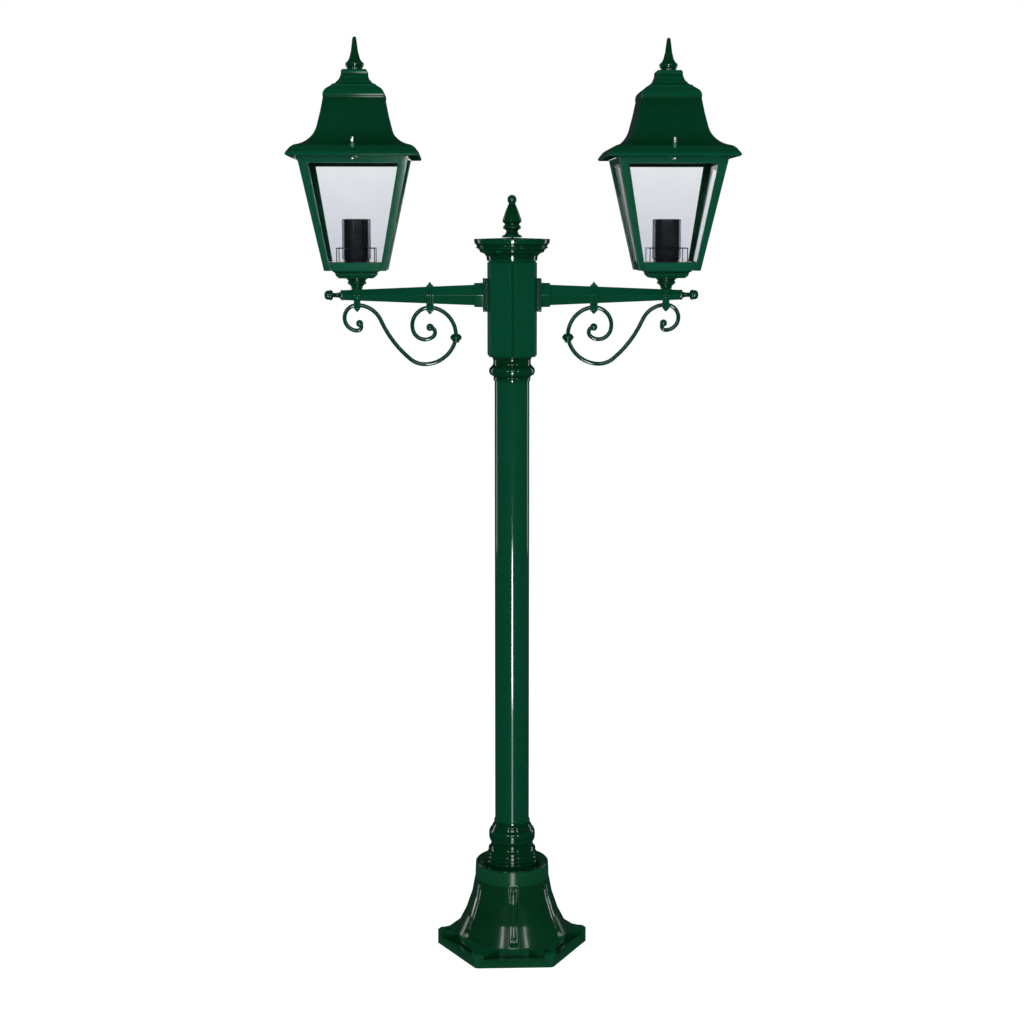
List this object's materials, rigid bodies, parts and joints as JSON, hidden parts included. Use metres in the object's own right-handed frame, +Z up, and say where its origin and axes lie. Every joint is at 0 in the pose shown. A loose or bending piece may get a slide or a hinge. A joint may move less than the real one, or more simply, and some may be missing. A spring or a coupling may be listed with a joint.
{
  "type": "street lamp post",
  "caption": "Classic garden street lamp post: hexagonal bell base, round tube, tapered arms with scrollwork and square glazed lanterns with lift-off bell roofs.",
  "frame": {"origin": "centre of the base's underside, on the ground under the post's axis", "axes": "+Z up the post; +X along the right-hand arm; -Y towards the front of the lanterns"},
  "size_m": [0.75, 0.232, 1.59],
  "materials": {
    "green_paint": "gloss",
    "bright_steel": "bright",
    "black_plastic": "gloss",
    "cream_plastic": "matte",
    "lead_sheath": "satin",
    "black_rubber": "matte",
    "clear_glass": "clear, bevelled",
    "shell_brass": "satin"
  },
  "bodies": {
    "post": {"base_casting": "green_paint", "base_ring": "green_paint", "foot_screws": "bright_steel", "foot_collar": "green_paint", "post_tube": "green_paint", "top_collar": "green_paint", "head_body": "green_paint", "head_stud": "bright_steel", "terminal_block": "cream_plastic", "arm_gaskets": "black_rubber", "arm_nipples": "bright_steel", "arm_socket_left": "green_paint", "arm_left": "green_paint", "arm_tip_left": "green_paint", "scroll_upper_left": "green_paint", "scroll_lower_left": "green_paint", "scroll_collar_left": "green_paint", "clamp_inner_left": "green_paint", "clamp_outer_left": "green_paint", "lamp_lead_left": "lead_sheath", "arm_socket_right": "green_paint", "arm_right": "green_paint", "arm_tip_right": "green_paint", "scroll_upper_right": "green_paint", "scroll_lower_right": "green_paint", "scroll_collar_right": "green_paint", "clamp_inner_right": "green_paint", "clamp_outer_right": "green_paint", "lamp_lead_right": "lead_sheath"},
    "head_cap": {"head_cap": "green_paint"},
    "head_finial": {"head_finial": "green_paint"},
    "lantern_left": {"lantern_stem_left": "green_paint", "lantern_gallery_left": "green_paint", "lantern_frame_left": "green_paint", "glass_panes_left": "clear_glass", "holder_clip_left": "bright_steel", "lamp_holder_left": "black_plastic", "lamp_shroud_left": "black_plastic", "lamp_shell_left": "shell_brass", "roof_bolts_left": "bright_steel"},
    "roof_left": {"roof_left": "green_paint", "roof_cap_left": "green_paint", "roof_finial_left": "green_paint"},
    "roof_nut_front_left": {"roof_nut_front_left": "bright_steel"},
    "roof_nut_back_left": {"roof_nut_back_left": "bright_steel"},
    "lantern_right": {"lantern_stem_right": "green_paint", "lantern_gallery_right": "green_paint", "lantern_frame_right": "green_paint", "glass_panes_right": "clear_glass", "holder_clip_right": "bright_steel", "lamp_holder_right": "black_plastic", "lamp_shroud_right": "black_plastic", "lamp_shell_right": "shell_brass", "roof_bolts_right": "bright_steel"},
    "roof_right": {"roof_right": "green_paint", "roof_cap_right": "green_paint", "roof_finial_right": "green_paint"},
    "roof_nut_front_right": {"roof_nut_front_right": "bright_steel"},
    "roof_nut_back_right": {"roof_nut_back_right": "bright_steel"}
  },
  "joints": [
    {"name": "head_cap_lift", "type": "slide", "parent": "post", "child": "head_cap", "axis": [0, 0, 1], "range_m": [0, 0.06]},
    {"name": "head_finial_turn", "type": "hinge", "parent": "head_cap", "child": "head_finial", "pos_m": [0, 0, 1.28], "axis": [0, 0, 1], "continuous": true},
    {"name": "lantern_left_swivel", "type": "hinge", "parent": "post", "child": "lantern_left", "pos_m": [-0.265, 0, 1.17], "axis": [0, 0, 1], "range_deg": [-90, 90]},
    {"name": "roof_left_lift", "type": "slide", "parent": "lantern_left", "child": "roof_left", "axis": [0, 0, 1], "range_m": [0, 0.14]},
    {"name": "roof_nut_front_left_turn", "type": "hinge", "parent": "roof_left", "child": "roof_nut_front_left", "pos_m": [-0.265, -0.097, 1.414], "axis": [0, 0, 1], "continuous": true},
    {"name": "roof_nut_back_left_turn", "type": "hinge", "parent": "roof_left", "child": "roof_nut_back_left", "pos_m": [-0.265, 0.097, 1.414], "axis": [0, 0, 1], "continuous": true},
    {"name": "lantern_right_swivel", "type": "hinge", "parent": "post", "child": "lantern_right", "pos_m": [0.265, 0, 1.17], "axis": [0, 0, 1], "range_deg": [-90, 90]},
    {"name": "roof_right_lift", "type": "slide", "parent": "lantern_right", "child": "roof_right", "axis": [0, 0, 1], "range_m": [0, 0.14]},
    {"name": "roof_nut_front_right_turn", "type": "hinge", "parent": "roof_right", "child": "roof_nut_front_right", "pos_m": [0.265, -0.097, 1.414], "axis": [0, 0, 1], "continuous": true},
    {"name": "roof_nut_back_right_turn", "type": "hinge", "parent": "roof_right", "child": "roof_nut_back_right", "pos_m": [0.265, 0.097, 1.414], "axis": [0, 0, 1], "continuous": true}
  ]
}
